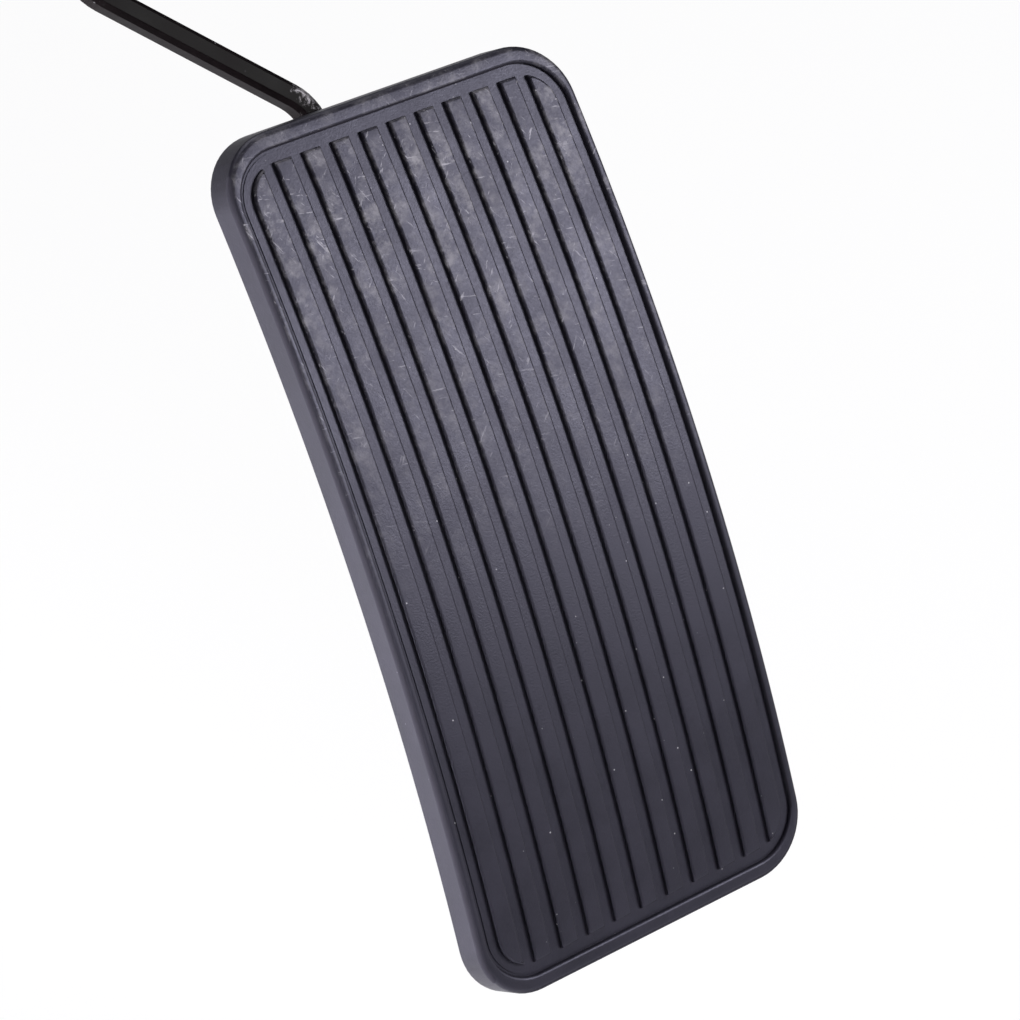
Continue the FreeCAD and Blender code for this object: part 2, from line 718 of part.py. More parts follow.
# Sensor case with its ears and connector socket
def make_sensor_case():
    pivot_y = "-dim.pivot_standoff"
    drum_length = "-dim.cheek_outer - dim.case_end"
    drum = cylinder("case_drum", "X", "dim.case_radius", drum_length, "dim.case_end", pivot_y)
    ears = box(
        "case_ears", "dim.ear_face", pivot_y, "-dim.ear_height / 2",
        "dim.ear_gauge", "dim.pivot_standoff - dim.ear_end", "dim.ear_height",
    )
    socket = box(
        "case_socket", "dim.socket_right - dim.socket_width", "-dim.pivot_standoff - dim.socket_length / 2",
        "dim.rotor_space / 2",
        "dim.socket_width", "dim.socket_length", "dim.socket_height - dim.rotor_space / 2",
    )
    cavity = box(
        "socket_cavity_cut", "dim.socket_right - dim.socket_width + dim.socket_wall",
        "-dim.pivot_standoff - dim.socket_length / 2 + dim.socket_wall", "dim.socket_floor",
        "dim.socket_width - 2 * dim.socket_wall", "dim.socket_length - 2 * dim.socket_wall",
        "dim.socket_height",
    )
    rotor_space = cylinder(
        "rotor_space_cut", "X", "dim.rotor_space", "dim.case_base - dim.case_end", "dim.case_end", pivot_y
    )
    board_space = cylinder(
        "board_space_cut", "X", "dim.case_inner", "dim.shelf_x - dim.case_end", "dim.case_end", pivot_y
    )
    shaft_hole = cylinder(
        "case_shaft_hole", "X", "dim.shaft_radius + dim.shaft_hole_clear", "dim.case_floor",
        "dim.case_base", pivot_y,
    )
    tools = [cavity, rotor_space, board_space, shaft_hole]
    for up in (-1, 1):
        tools.append(cylinder(
            "ear_hole_%d" % (up + 1), "X", "dim.screw_radius + dim.screw_clear", "dim.ear_gauge",
            "dim.ear_face", "-dim.screw_from_web", "%d * dim.screw_span / 2" % up,
        ))
    tools += pin_blocks("pin_hole")
    node(cut("sensor_case", fuse("case_solid", drum, ears, socket), *tools), "sensor_case")
    node(fuse("connector_pins", *pin_blocks("pin")), "connector_pins")


def pin_blocks(name):
    pins = []
    columns = int(value_of("pin_columns"))
    for column in range(columns):
        for row in (-1, 1):
            pins.append(box(
                "%s_%d%d" % (name, column, row + 1),
                "dim.socket_middle + %d * dim.pin_row / 2 - dim.pin_side / 2" % row,
                "-dim.pivot_standoff + %s * dim.pin_pitch - dim.pin_side / 2" % (column - (columns - 1) / 2),
                "dim.pin_inside", "dim.pin_side", "dim.pin_side",
                "dim.socket_floor + dim.pin_free - dim.pin_inside",
            ))
    return pins


# Pieces inside and on the sensor case
def make_sensor_inside():
    pivot_y = "-dim.pivot_standoff"
    disc = cylinder("rotor_disc", "X", "dim.rotor_radius", "dim.rotor_gauge", "dim.rotor_left", pivot_y)
    bore = cylinder(
        "rotor_bore", "X", "dim.shaft_radius + dim.shaft_fit", "dim.rotor_gauge", "dim.rotor_left", pivot_y
    )
    key = box(
        "rotor_key", "dim.rotor_left", "-dim.pivot_standoff - dim.rotor_radius",
        "dim.shaft_flat + dim.shaft_fit", "dim.rotor_gauge", "2 * dim.rotor_radius", "dim.shaft_radius",
    )
    node(cut("sensor_rotor", disc, cut("rotor_socket", bore, key)), "sensor_rotor")

    fingers = []
    for number in range(2):
        fingers.append(box(
            "wiper_%d" % number, "dim.shelf_x + dim.wiper_gap",
            "-dim.pivot_standoff - dim.wiper_length / 2",
            "-(dim.wiper_inner + %d * dim.wiper_step) - dim.wiper_width / 2" % number,
            "dim.rotor_left - dim.shelf_x - dim.wiper_gap", "dim.wiper_length", "dim.wiper_width",
        ))
    node(fuse("wiper_brushes", *fingers), "wiper_brushes")

    node(cylinder(
        "sensor_board", "X", "dim.case_inner - dim.board_clear", "dim.board_gauge",
        "dim.shelf_x - dim.board_gauge", pivot_y,
    ), "sensor_board")

    ring = cylinder(
        "seal_outer", "X", "dim.case_radius - dim.seal_inset", "dim.seal_gauge", "dim.cover_right", pivot_y
    )
    hole = cylinder(
        "seal_inner", "X", "dim.case_inner + dim.seal_inset", "dim.seal_gauge", "dim.cover_right", pivot_y
    )
    node(cut("cover_seal", ring, hole), "cover_seal")

    plate = cylinder("cover_disc", "X", "dim.case_radius", "dim.cover_plate", "dim.cover_left", pivot_y)
    spigot_length = "dim.shelf_x - dim.board_gauge - dim.rubber_fit - dim.cover_right"
    spigot = cylinder("spigot_outer", "X", "dim.spigot_radius", spigot_length, "dim.cover_right", pivot_y)
    spigot_bore = "dim.spigot_radius - dim.spigot_wall"
    spigot_hole = cylinder("spigot_inner", "X", spigot_bore, spigot_length, "dim.cover_right", pivot_y)
    node(cut("sensor_cover", fuse("cover_solid", plate, spigot), spigot_hole), "sensor_cover")

    screws = []
    for up in (-1, 1):
        place = "%d * dim.screw_span / 2" % up
        head = cylinder(
            "screw_head_%d" % (up + 1), "X", "dim.screw_head_radius", "dim.screw_head_height",
            "dim.ear_face - dim.screw_head_height", "-dim.screw_from_web", place,
        )
        shank = cylinder(
            "screw_shank_%d" % (up + 1), "X", "dim.screw_radius",
            "dim.ear_gauge + dim.web_gauge + dim.screw_tip", "dim.ear_face", "-dim.screw_from_web", place,
        )
        screws.append(fuse("screw_%d" % (up + 1), head, shank))
    node(fuse("sensor_screws", *screws), "sensor_screws")


fill_sheet()
make_pad_cover()
make_pad_plate()
make_pedal_arm()
make_bracket()
make_bushes()
make_pivot()
make_stops()
make_return_spring()
make_sensor_case()
make_sensor_inside()
doc.recompute()

for item in doc.Objects:
    if "Invalid" in item.State or "Error" in item.State:
        raise RuntimeError("%s failed: %s" % (item.Name, item.State))
os.makedirs("parts", exist_ok=True)
for item in nodes:
    if item.Shape.isNull() or not item.Shape.isValid():
        raise RuntimeError("%s has no valid shape" % item.Label)
    print(item.Label, len(item.Shape.Solids), round(item.Shape.Volume, 1))
for item in nodes:
    item.Shape.exportStep("parts/%s.step" % item.Label)
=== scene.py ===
import json
import math

import bmesh
import bpy
from mathutils import Matrix, Vector


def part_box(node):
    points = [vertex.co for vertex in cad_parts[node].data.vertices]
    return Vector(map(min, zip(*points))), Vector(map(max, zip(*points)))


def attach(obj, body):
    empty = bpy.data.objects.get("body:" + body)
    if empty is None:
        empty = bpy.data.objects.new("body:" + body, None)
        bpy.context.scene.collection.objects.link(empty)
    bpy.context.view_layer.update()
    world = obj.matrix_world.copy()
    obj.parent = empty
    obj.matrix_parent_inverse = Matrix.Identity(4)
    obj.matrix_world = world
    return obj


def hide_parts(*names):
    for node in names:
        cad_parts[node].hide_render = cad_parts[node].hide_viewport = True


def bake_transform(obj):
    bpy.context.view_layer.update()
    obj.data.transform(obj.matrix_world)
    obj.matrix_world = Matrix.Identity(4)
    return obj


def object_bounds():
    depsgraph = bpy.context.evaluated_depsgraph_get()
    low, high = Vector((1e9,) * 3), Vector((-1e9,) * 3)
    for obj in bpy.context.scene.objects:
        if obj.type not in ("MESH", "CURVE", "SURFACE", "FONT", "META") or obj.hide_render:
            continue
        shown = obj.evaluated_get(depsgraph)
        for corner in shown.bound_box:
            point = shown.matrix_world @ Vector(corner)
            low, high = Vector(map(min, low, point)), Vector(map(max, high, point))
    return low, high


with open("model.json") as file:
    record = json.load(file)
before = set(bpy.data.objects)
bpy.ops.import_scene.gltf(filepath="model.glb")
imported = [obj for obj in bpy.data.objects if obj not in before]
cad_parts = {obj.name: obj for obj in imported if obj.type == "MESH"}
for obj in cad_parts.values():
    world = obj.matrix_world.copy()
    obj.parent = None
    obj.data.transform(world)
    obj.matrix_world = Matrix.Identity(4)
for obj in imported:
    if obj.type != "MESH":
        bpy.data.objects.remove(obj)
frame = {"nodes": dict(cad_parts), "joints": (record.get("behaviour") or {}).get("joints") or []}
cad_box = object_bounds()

# Bracket, hub tube and stop lever: pressed and cut steel, welded, then sprayed gloss black.
# The bracket is one pressing with a web and two cheeks, and bolts flat to the bulkhead.
mm = 0.001
join_gap = 0.002 * mm
flat_angle, edge_angle, edge_steps = math.radians(0.6), math.radians(35), 3


def linear(hex_colour):
    parts = [int(hex_colour[i:i + 2], 16) / 255 for i in (1, 3, 5)]
    return [c / 12.92 if c <= 0.04045 else ((c + 0.055) / 1.055) ** 2.4 for c in parts] + [1.0]


def add(tree, kind, links=None, **settings):
    """Adds one node with its settings. Each link feeds a socket from a node, an output or a value."""
    item = tree.nodes.new("ShaderNode" + kind)
    for name, value in settings.items():
        setattr(item, name, value)
    for socket, source in (links or {}).items():
        if isinstance(source, bpy.types.Node):
            source = next(output for output in source.outputs if output.enabled)
        if isinstance(source, bpy.types.NodeSocket):
            tree.links.new(source, item.inputs[socket])
        else:
            item.inputs[socket].default_value = source
    return item


def finish_named(name):
    """An empty material, its node tree, and the place on the piece that its patterns follow."""
    material = bpy.data.materials.new(name)
    material.use_nodes = True
    tree = material.node_tree
    tree.nodes.clear()
    return material, tree, add(tree, "TexCoord").outputs["Object"]


def per_metre(size_mm):
    """Texture scale that gives a pattern about this many millimetres across."""
    return 1 / (size_mm * mm)


def black_gloss_paint():
    # Stoved gloss enamel on steel: deep black, a soft orange-peel ripple and a little dust.
    material, tree, place = finish_named("stoved gloss black enamel")
    dust = add(tree, "TexNoise", {"Vector": place, "Scale": per_metre(9), "Detail": 5.0})
    dusty = add(tree, "MapRange", {"Value": dust, "From Min": 0.35, "From Max": 0.75})
    tone = add(tree, "Mix", {0: dusty, 6: linear("#0b0b0c"), 7: linear("#17171a")}, data_type="RGBA")
    gloss = add(tree, "MapRange", {
        "Value": dust, "From Min": 0.3, "From Max": 0.8, "To Min": 0.2, "To Max": 0.36,
    })
    peel = add(tree, "TexNoise", {"Vector": place, "Scale": per_metre(1.6), "Detail": 2.0})
    bump = add(tree, "Bump", {"Height": peel, "Strength": 0.12, "Distance": 0.05 * mm})
    shader = add(tree, "BsdfPrincipled", {"Base Color": tone, "Roughness": gloss, "Normal": bump})
    add(tree, "OutputMaterial", {"Surface": shader})
    return material


def soften(name, width_mm, material):
    """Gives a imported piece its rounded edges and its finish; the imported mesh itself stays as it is."""
    piece = frame["nodes"][name]
    piece.data.polygons.foreach_set("use_smooth", [True] * len(piece.data.polygons))
    weld = piece.modifiers.new("joined", "WELD")
    weld.merge_threshold = join_gap
    flat = piece.modifiers.new("flat_faces", "DECIMATE")
    flat.decimate_type = "DISSOLVE"
    flat.angle_limit = flat_angle
    edge = piece.modifiers.new("edges", "BEVEL")
    edge.width = width_mm * mm
    edge.segments = edge_steps
    edge.limit_method = "ANGLE"
    edge.angle_limit = edge_angle
    level = piece.modifiers.new("level_faces", "WEIGHTED_NORMAL")
    level.weight = 100
    piece.data.materials.clear()
    piece.data.materials.append(material)


enamel = black_gloss_paint()
soften("bracket", 0.5, enamel)
soften("hub_tube", 0.4, enamel)
soften("stop_lever", 0.5, enamel)

# Bushes and sensor rotor: natural acetal, injection moulded, pale and slightly waxy.
# The bushes press into the cheeks, and the rotor slides on the shaft's flat.


def natural_acetal():
    # Unfilled acetal: milky white with a low sheen and faint flow marks.
    material, tree, place = finish_named("natural acetal")
    flow = add(tree, "TexNoise", {"Vector": place, "Scale": per_metre(4), "Detail": 3.0})
    marks = add(tree, "MapRange", {"Value": flow, "From Min": 0.3, "From Max": 0.7})
    tone = add(tree, "Mix", {0: marks, 6: linear("#d2cdbf"), 7: linear("#dedacd")}, data_type="RGBA")
    shader = add(tree, "BsdfPrincipled", {
        "Base Color": tone, "Roughness": 0.38,
        "Subsurface Weight": 0.1, "Subsurface Radius": (2 * mm, 2 * mm, 1.8 * mm),
    })
    add(tree, "OutputMaterial", {"Surface": shader})
    return material


acetal = natural_acetal()
for name in ("bush_left", "bush_right", "sensor_rotor"):
    soften(name, 0.3, acetal)

# Pivot shaft, washer and sensor screws: turned and headed steel with bright zinc plating.
# The shaft runs through hub and bushes, and the washer sits between bush and clip.


def bright_zinc():
    # Electroplated zinc: pale grey metal, clouded a little by the plating.
    material, tree, place = finish_named("bright zinc plate")
    cloud = add(tree, "TexNoise", {"Vector": place, "Scale": per_metre(6), "Detail": 4.0})
    clouds = add(tree, "MapRange", {"Value": cloud, "From Min": 0.3, "From Max": 0.75})
    tone = add(tree, "Mix", {0: clouds, 6: linear("#a9abab"), 7: linear("#c6c6c2")}, data_type="RGBA")
    rough = add(tree, "MapRange", {
        "Value": cloud, "From Min": 0.3, "From Max": 0.8, "To Min": 0.26, "To Max": 0.4,
    })
    shader = add(tree, "BsdfPrincipled", {"Base Color": tone, "Roughness": rough, "Metallic": 1.0})
    add(tree, "OutputMaterial", {"Surface": shader})
    return material


zinc = bright_zinc()
for name in ("pivot_shaft", "shaft_washer", "sensor_screws"):
    soften(name, 0.3, zinc)

# Return spring and shaft clip: oil-tempered spring steel, wound and stamped, dark and slightly oily.
# The spring's long leg bears on the web and its hook pulls the stop lever back, so in use it twists between
# the two.
# Here it is a smoothed copy of the wound mesh, and it does not twist with the hub.
coil_crease = math.radians(50)


def spring_steel():
    # Oil-tempered wire: dark grey metal, clouded by a thin oil film.
    material, tree, place = finish_named("oil-tempered spring steel")
    cloud = add(tree, "TexNoise", {"Vector": place, "Scale": per_metre(5), "Detail": 4.0})
    film = add(tree, "MapRange", {"Value": cloud, "From Min": 0.3, "From Max": 0.75})
    tone = add(tree, "Mix", {0: film, 6: linear("#3a3b3e"), 7: linear("#57575a")}, data_type="RGBA")
    shader = add(tree, "BsdfPrincipled", {"Base Color": tone, "Roughness": 0.34, "Metallic": 1.0})
    add(tree, "OutputMaterial", {"Surface": shader})
    return material


tempered = spring_steel()
soften("shaft_clip", 0.2, tempered)

wound = frame["nodes"]["return_spring"]
coil = bpy.data.objects.new("wound_spring", wound.data.copy())
coil.data.transform(wound.matrix_world)
bpy.context.scene.collection.objects.link(coil)
bpy.ops.object.select_all(action="DESELECT")
coil.select_set(True)
bpy.context.view_layer.objects.active = coil
bpy.ops.object.mode_set(mode="EDIT")
bpy.ops.mesh.select_all(action="SELECT")
bpy.ops.mesh.remove_doubles(threshold=join_gap)
bpy.ops.object.mode_set(mode="OBJECT")
bpy.ops.object.shade_smooth_by_angle(angle=coil_crease)
coil.data.materials.clear()
coil.data.materials.append(tempered)
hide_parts("return_spring")
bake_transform(coil)

# Stop buffers and cover seal: black rubber, moulded, pushed into the web and laid under the lid.
# Plain pieces with a dull skin.


def moulded_rubber():
    # Natural rubber compound: charcoal, matt, a little bloom on the skin.
    material, tree, place = finish_named("moulded buffer rubber")
    skin = add(tree, "TexNoise", {"Vector": place, "Scale": per_metre(5), "Detail": 5.0})
    bloom = add(tree, "MapRange", {"Value": skin, "From Min": 0.35, "From Max": 0.75})
    tone = add(tree, "Mix", {0: bloom, 6: linear("#1c1c1e"), 7: linear("#2c2c2f")}, data_type="RGBA")
    shader = add(tree, "BsdfPrincipled", {"Base Color": tone, "Roughness": 0.62})
    add(tree, "OutputMaterial", {"Surface": shader})
    return material


buffer_rubber = moulded_rubber()
for name in ("idle_stop_buffer", "full_stop_buffer"):
    soften(name, 1.0, buffer_rubber)
soften("cover_seal", 0.15, buffer_rubber)

# Sensor case and lid: black glass-filled nylon, injection moulded with a fine spark-eroded texture.
# Two ears take the screws, the socket takes the harness plug, and the lid is bonded on.


def filled_nylon():
    # Glass-filled nylon: near black, satin, with a fine even grain from the mould.
    material, tree, place = finish_named("black glass-filled nylon")
    cloud = add(tree, "TexNoise", {"Vector": place, "Scale": per_metre(12), "Detail": 4.0})
    clouds = add(tree, "MapRange", {"Value": cloud, "From Min": 0.3, "From Max": 0.75})
    tone = add(tree, "Mix", {0: clouds, 6: linear("#17181a"), 7: linear("#212225")}, data_type="RGBA")
    # real grain is about 0.1 mm; drawn at 0.5 mm so that it shows
    grain = add(tree, "TexNoise", {"Vector": place, "Scale": per_metre(0.5), "Detail": 2.0})
    bump = add(tree, "Bump", {"Height": grain, "Strength": 0.25, "Distance": 0.05 * mm})
    shader = add(tree, "BsdfPrincipled", {"Base Color": tone, "Roughness": 0.5, "Normal": bump})
    add(tree, "OutputMaterial", {"Surface": shader})
    return material


nylon = filled_nylon()
soften("sensor_case", 0.5, nylon)
soften("sensor_cover", 0.6, nylon)

# Contact pins and wipers: stamped brass strip.
# The pins press through the socket's floor, and the wipers are riveted to the rotor.


def stamped_brass():
    # Bare brass strip: warm yellow metal, lightly tarnished.
    material, tree, place = finish_named("stamped brass")
    air = add(tree, "TexNoise", {"Vector": place, "Scale": per_metre(2), "Detail": 4.0})
    tarnish = add(tree, "MapRange", {"Value": air, "From Min": 0.3, "From Max": 0.75})
    tone = add(tree, "Mix", {0: tarnish, 6: linear("#a98442"), 7: linear("#cdab62")}, data_type="RGBA")
    shader = add(tree, "BsdfPrincipled", {"Base Color": tone, "Roughness": 0.3, "Metallic": 1.0})
    add(tree, "OutputMaterial", {"Surface": shader})
    return material


brass = stamped_brass()
soften("connector_pins", 0.15, brass)
soften("wiper_brushes", 0.15, brass)

# Sensor board: round glass-epoxy laminate under green lacquer, clamped on a shelf in the case.
# It stays hidden once the lid is on.


def green_laminate():
    # Lacquered laminate: dark green, mottled by the glass cloth under the lacquer.
    material, tree, place = finish_named("lacquered laminate")
    cloth = add(tree, "TexNoise", {"Vector": place, "Scale": per_metre(0.8), "Detail": 1.0})
    mottle = add(tree, "MapRange", {"Value": cloth, "From Min": 0.3, "From Max": 0.7})
    tone = add(tree, "Mix", {0: mottle, 6: linear("#1f4a2b"), 7: linear("#2a5c36")}, data_type="RGBA")
    shader = add(tree, "BsdfPrincipled", {"Base Color": tone, "Roughness": 0.3})
    add(tree, "OutputMaterial", {"Surface": shader})
    return material


soften("sensor_board", 0.15, green_laminate())

# Pad plate: steel plate pressed to the pad's bow, primed black, gripped by the rubber all round.
# Only its back shows, inside the cover's lip.


def black_primer():
    # Electro-dipped primer: dull black with thin rubbed patches.
    material, tree, place = finish_named("black dip primer")
    rub = add(tree, "TexNoise", {"Vector": place, "Scale": per_metre(14), "Detail": 6.0})
    rubbed = add(tree, "MapRange", {"Value": rub, "From Min": 0.35, "From Max": 0.75})
    tone = add(tree, "Mix", {0: rubbed, 6: linear("#131314"), 7: linear("#242426")}, data_type="RGBA")
    shader = add(tree, "BsdfPrincipled", {"Base Color": tone, "Roughness": 0.48})
    add(tree, "OutputMaterial", {"Surface": shader})
    return material


soften("pad_plate", 0.3, black_primer())

# Pedal arm: steel bar on edge, bent cold to the side and painted black, with hardly any shine left.
# The paint is rubbed through to bare steel on the outside of the bend beside the pad.
pad_lean = math.radians(35)
pad_up = Vector((0, math.sin(pad_lean), math.cos(pad_lean)))
pad_out = Vector((0, -math.cos(pad_lean), math.sin(pad_lean)))
pad_right = Vector((1, 0, 0))
bow_radius = 384.5
pad_width, pad_length, cover_depth = 62.0, 133.7, 6.5
arm_reach, arm_clear, arm_depth = 225.0, 3.6, 4.2
end_sag = bow_radius - math.sqrt(bow_radius ** 2 - (pad_length / 2) ** 2)
arm_back = end_sag + cover_depth + arm_clear + arm_depth / 2
pivot = Vector(frame["joints"][0]["pos_m"])
cover_low, cover_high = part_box("pad_cover")
pad_middle = pivot - pad_up * arm_reach * mm + pad_out * arm_back * mm
pad_middle.x = (cover_low.x + cover_high.x) / 2


def on_pad(across, up, out):
    """A place given in the pad's own frame, in millimetres from the top of its bow."""
    return pad_middle + (pad_right * across + pad_up * up + pad_out * out) * mm


def worn_paint():
    # Black enamel dulled by handling, with dust specks, chipped to grey steel where shoes rub the bend.
    material, tree, place = finish_named("rubbed gloss black enamel")
    wear_middle, wear_reach = on_pad(-5.0, 70.5, -15.8), 6.5 * mm
    away = add(tree, "VectorMath", {0: place, 1: wear_middle}, operation="DISTANCE")
    near = add(tree, "MapRange", {"Value": away, "From Min": wear_reach, "From Max": 0.0})
    chips = add(tree, "TexNoise", {
        "Vector": place, "Scale": per_metre(0.8), "Detail": 6.0, "Roughness": 0.75,
    })
    rubbed = add(tree, "Math", {0: near, 1: 0.55}, operation="MULTIPLY")
    bare = add(tree, "Math", {0: rubbed, 1: chips}, operation="ADD")
    worn = add(tree, "MapRange", {"Value": bare, "From Min": 0.76, "From Max": 0.9})
    dust = add(tree, "TexNoise", {"Vector": place, "Scale": per_metre(8), "Detail": 5.0})
    dusty = add(tree, "MapRange", {"Value": dust, "From Min": 0.35, "From Max": 0.75})
    coat = add(tree, "Mix", {0: dusty, 6: linear("#080506"), 7: linear("#120d0f")}, data_type="RGBA")
    spots = add(tree, "TexVoronoi", {"Vector": place, "Scale": per_metre(2.6)})
    specks = add(tree, "MapRange", {"Value": spots, "From Min": 0.09, "From Max": 0.05})
    chosen = add(tree, "MapRange", {"Value": dust, "From Min": 0.48, "From Max": 0.56})
    dots = add(tree, "Math", {0: specks, 1: chosen}, operation="MULTIPLY")
    coat = add(tree, "Mix", {0: dots, 6: coat, 7: linear("#77757a")}, data_type="RGBA")
    coat = add(tree, "Mix", {0: worn, 6: coat, 7: linear("#7b787c")}, data_type="RGBA")
    steel = add(tree, "Math", {0: worn, 1: 0.35}, operation="MULTIPLY")
    haze = add(tree, "Math", {0: dust, 1: 0.2}, operation="MULTIPLY")
    dull = add(tree, "Math", {0: haze, 1: 0.3}, operation="ADD")
    scoured = add(tree, "Math", {0: worn, 1: 0.45}, operation="MULTIPLY")
    rough = add(tree, "Math", {0: dull, 1: scoured}, operation="MAXIMUM")
    bump = add(tree, "Bump", {"Height": chips, "Strength": 0.08, "Distance": 0.04 * mm})
    shader = add(tree, "BsdfPrincipled", {
        "Base Color": coat, "Metallic": steel, "Roughness": rough, "Specular IOR Level": 0.04, "Normal": bump,
    })
    add(tree, "OutputMaterial", {"Surface": shader})
    return material


soften("pedal_arm", 0.45, worn_paint())

# Welds: short arc-welded runs that join the arm's foot to the plate, and the arm to the hub.
# The molten steel set in overlapping ripples and went under the same black paint.
arm_offset, arm_gauge, lip_depth = 6.0, 3.5, 2.5
foot_low, foot_high = 6.0, 40.0
ripple, ripple_step, ripple_skin = 1.25, 1.5, 0.3
drop_sides, drop_rings = 14, 9
hub_radius, arm_place = 8.0, 6.0


def weld_run(name, places):
    """One run of weld metal: round drops, a step apart, fused into one skin."""
    drop = {"segments": drop_sides, "ring_count": drop_rings, "radius": ripple * mm}
    bpy.ops.object.select_all(action="DESELECT")
    bpy.ops.mesh.primitive_uv_sphere_add(location=places[0], **drop)
    run = bpy.context.active_object
    run.name = name
    run.data.name = name
    bpy.ops.object.transform_apply(location=True, rotation=True, scale=True)
    bpy.ops.object.mode_set(mode="EDIT")
    for place in places[1:]:
        bpy.ops.mesh.primitive_uv_sphere_add(location=place, **drop)
    bpy.ops.object.mode_set(mode="OBJECT")
    bpy.ops.object.modifier_add(type="REMESH")
    run.modifiers[-1].mode = "VOXEL"
    run.modifiers[-1].voxel_size = ripple_skin * mm
    bpy.ops.object.modifier_apply(modifier=run.modifiers[-1].name)
    bpy.ops.object.shade_smooth()
    run.data.materials.append(enamel)
    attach(run, "pedal")


plate_back = bow_radius - cover_depth + lip_depth
drops = int((foot_high - foot_low) / ripple_step)
ups = [foot_low + ripple_step * number for number in range(drops + 1)]
for name, side in (("foot_weld_left", -1), ("foot_weld_right", 1)):
    weld_run(name, [
        on_pad(-arm_offset + side * arm_gauge / 2, up, math.sqrt(plate_back ** 2 - up ** 2) - bow_radius)
        for up in ups
    ])
turns = int(2 * math.pi * hub_radius / ripple_step)
angles = [2 * math.pi * number / turns for number in range(turns)]
for name, side in (("arm_weld_left", -1), ("arm_weld_right", 1)):
    across = arm_place + side * arm_gauge / 2
    weld_run(name, [
        pivot + Vector((across, hub_radius * math.cos(angle), hub_radius * math.sin(angle))) * mm
        for angle in angles
    ])

# Pad cover: moulded black rubber stretched over the plate.
# A rounded slab with a raised rim, a dished field and eleven ribs up its length, a lip behind.
pad_corner, pad_corner_steps = 9.5, 14
rim_side, rim_end, rim_height = 1.6, 2.7, 0.6
moat_width, moat_depth = 0.4, 0.15
rib_count, rib_pitch, rib_width, rib_height, rib_margin = 11, 5.12, 3.1, 0.75, 1.9
rib_corner, rib_corner_steps, rib_root = 5.4, 8, 0.4
plate_border, lip_overlap, back_recess = 3.4, 5.0, 0.8
outer_round, outer_steps = 0.85, 5
rim_round, rim_steps = 0.65, 4
rib_round, rib_steps = 0.42, 3
field_width, field_length = pad_width - 2 * rim_side, pad_length - 2 * rim_end
rib_field_width, rib_field_length = field_width - 2 * rib_margin, field_length - 2 * rib_margin
bow_cuts = 45
pad_crease = math.radians(40)


def select(piece, kind, wanted):
    """Selects the faces or edges of the piece in edit mode that pass the test."""
    bpy.ops.mesh.select_mode(type=kind)
    bpy.ops.mesh.select_all(action="DESELECT")
    mesh = bmesh.from_edit_mesh(piece.data)
    for element in (mesh.faces if kind == "FACE" else mesh.edges):
        if wanted(element):
            element.select_set(True)
    mesh.select_flush_mode()
    bmesh.update_edit_mesh(piece.data)


def block(name, width, length, low, high, corner, corner_steps):
    """A flat block with rounded upright corners, in millimetres, in edit mode with nothing selected."""
    bpy.ops.object.select_all(action="DESELECT")
    bpy.ops.mesh.primitive_cube_add(size=1, location=(0, 0, (low + high) / 2))
    piece = bpy.context.active_object
    piece.name = name
    piece.data.name = name
    piece.scale = (width, length, high - low)
    bpy.ops.object.transform_apply(location=True, rotation=True, scale=True)
    bpy.ops.object.mode_set(mode="EDIT")
    select(piece, "EDGE", lambda edge: abs(edge.verts[0].co.z - edge.verts[1].co.z) > 0.1)
    bpy.ops.mesh.bevel(offset=corner, segments=corner_steps, affect="EDGES")
    bpy.ops.mesh.select_all(action="DESELECT")
    return piece


def wall_height(edge):
    """Height of the upright wall below or above an edge where a flat face meets it, or 0 elsewhere."""
    flats = [face for face in edge.link_faces if abs(face.normal.z) > 0.9]
    walls = [face for face in edge.link_faces if abs(face.normal.z) < 0.1]
    if len(flats) != 1 or len(walls) != 1:
        return 0.0
    heights = [vert.co.z for vert in walls[0].verts]
    return max(heights) - min(heights)


def slice_along(cuts):
    """Cuts the piece in edit mode across its length, so that it can take the pad's bow."""
    bpy.ops.mesh.select_mode(type="FACE")
    for step in range(1, cuts):
        bpy.ops.mesh.select_all(action="SELECT")
        along = -pad_length / 2 + pad_length * step / cuts
        bpy.ops.mesh.bisect(plane_co=(0, along, 0), plane_no=(0, 1, 0))


def pad_slab():
    slab = block("pad_slab", pad_width, pad_length, -cover_depth, 0, pad_corner, pad_corner_steps)
    select(slab, "FACE", lambda face: face.normal.z > 0.9)
    bpy.ops.mesh.inset(thickness=rim_side)
    stretch = field_length / (pad_length - 2 * rim_side)
    bpy.ops.transform.resize(value=(1, stretch, 1))
    bpy.ops.mesh.extrude_region_move(TRANSFORM_OT_translate={"value": (0, 0, -rim_height - moat_depth)})
    bpy.ops.mesh.inset(thickness=moat_width)
    bpy.ops.mesh.extrude_region_move(TRANSFORM_OT_translate={"value": (0, 0, moat_depth)})
    select(slab, "FACE", lambda face: face.normal.z < -0.9)
    bpy.ops.mesh.inset(thickness=plate_border + lip_overlap)
    bpy.ops.mesh.extrude_region_move(TRANSFORM_OT_translate={"value": (0, 0, lip_depth + back_recess)})
    select(slab, "EDGE", lambda edge: wall_height(edge) > cover_depth * 0.9)
    bpy.ops.mesh.bevel(offset=outer_round, segments=outer_steps, affect="EDGES")
    select(slab, "EDGE", lambda edge: 0.1 < wall_height(edge) < 2 and edge.verts[0].co.z > -0.1)
    bpy.ops.mesh.bevel(offset=rim_round, segments=rim_steps, affect="EDGES")
    slice_along(bow_cuts)
    bpy.ops.object.mode_set(mode="OBJECT")
    return slab


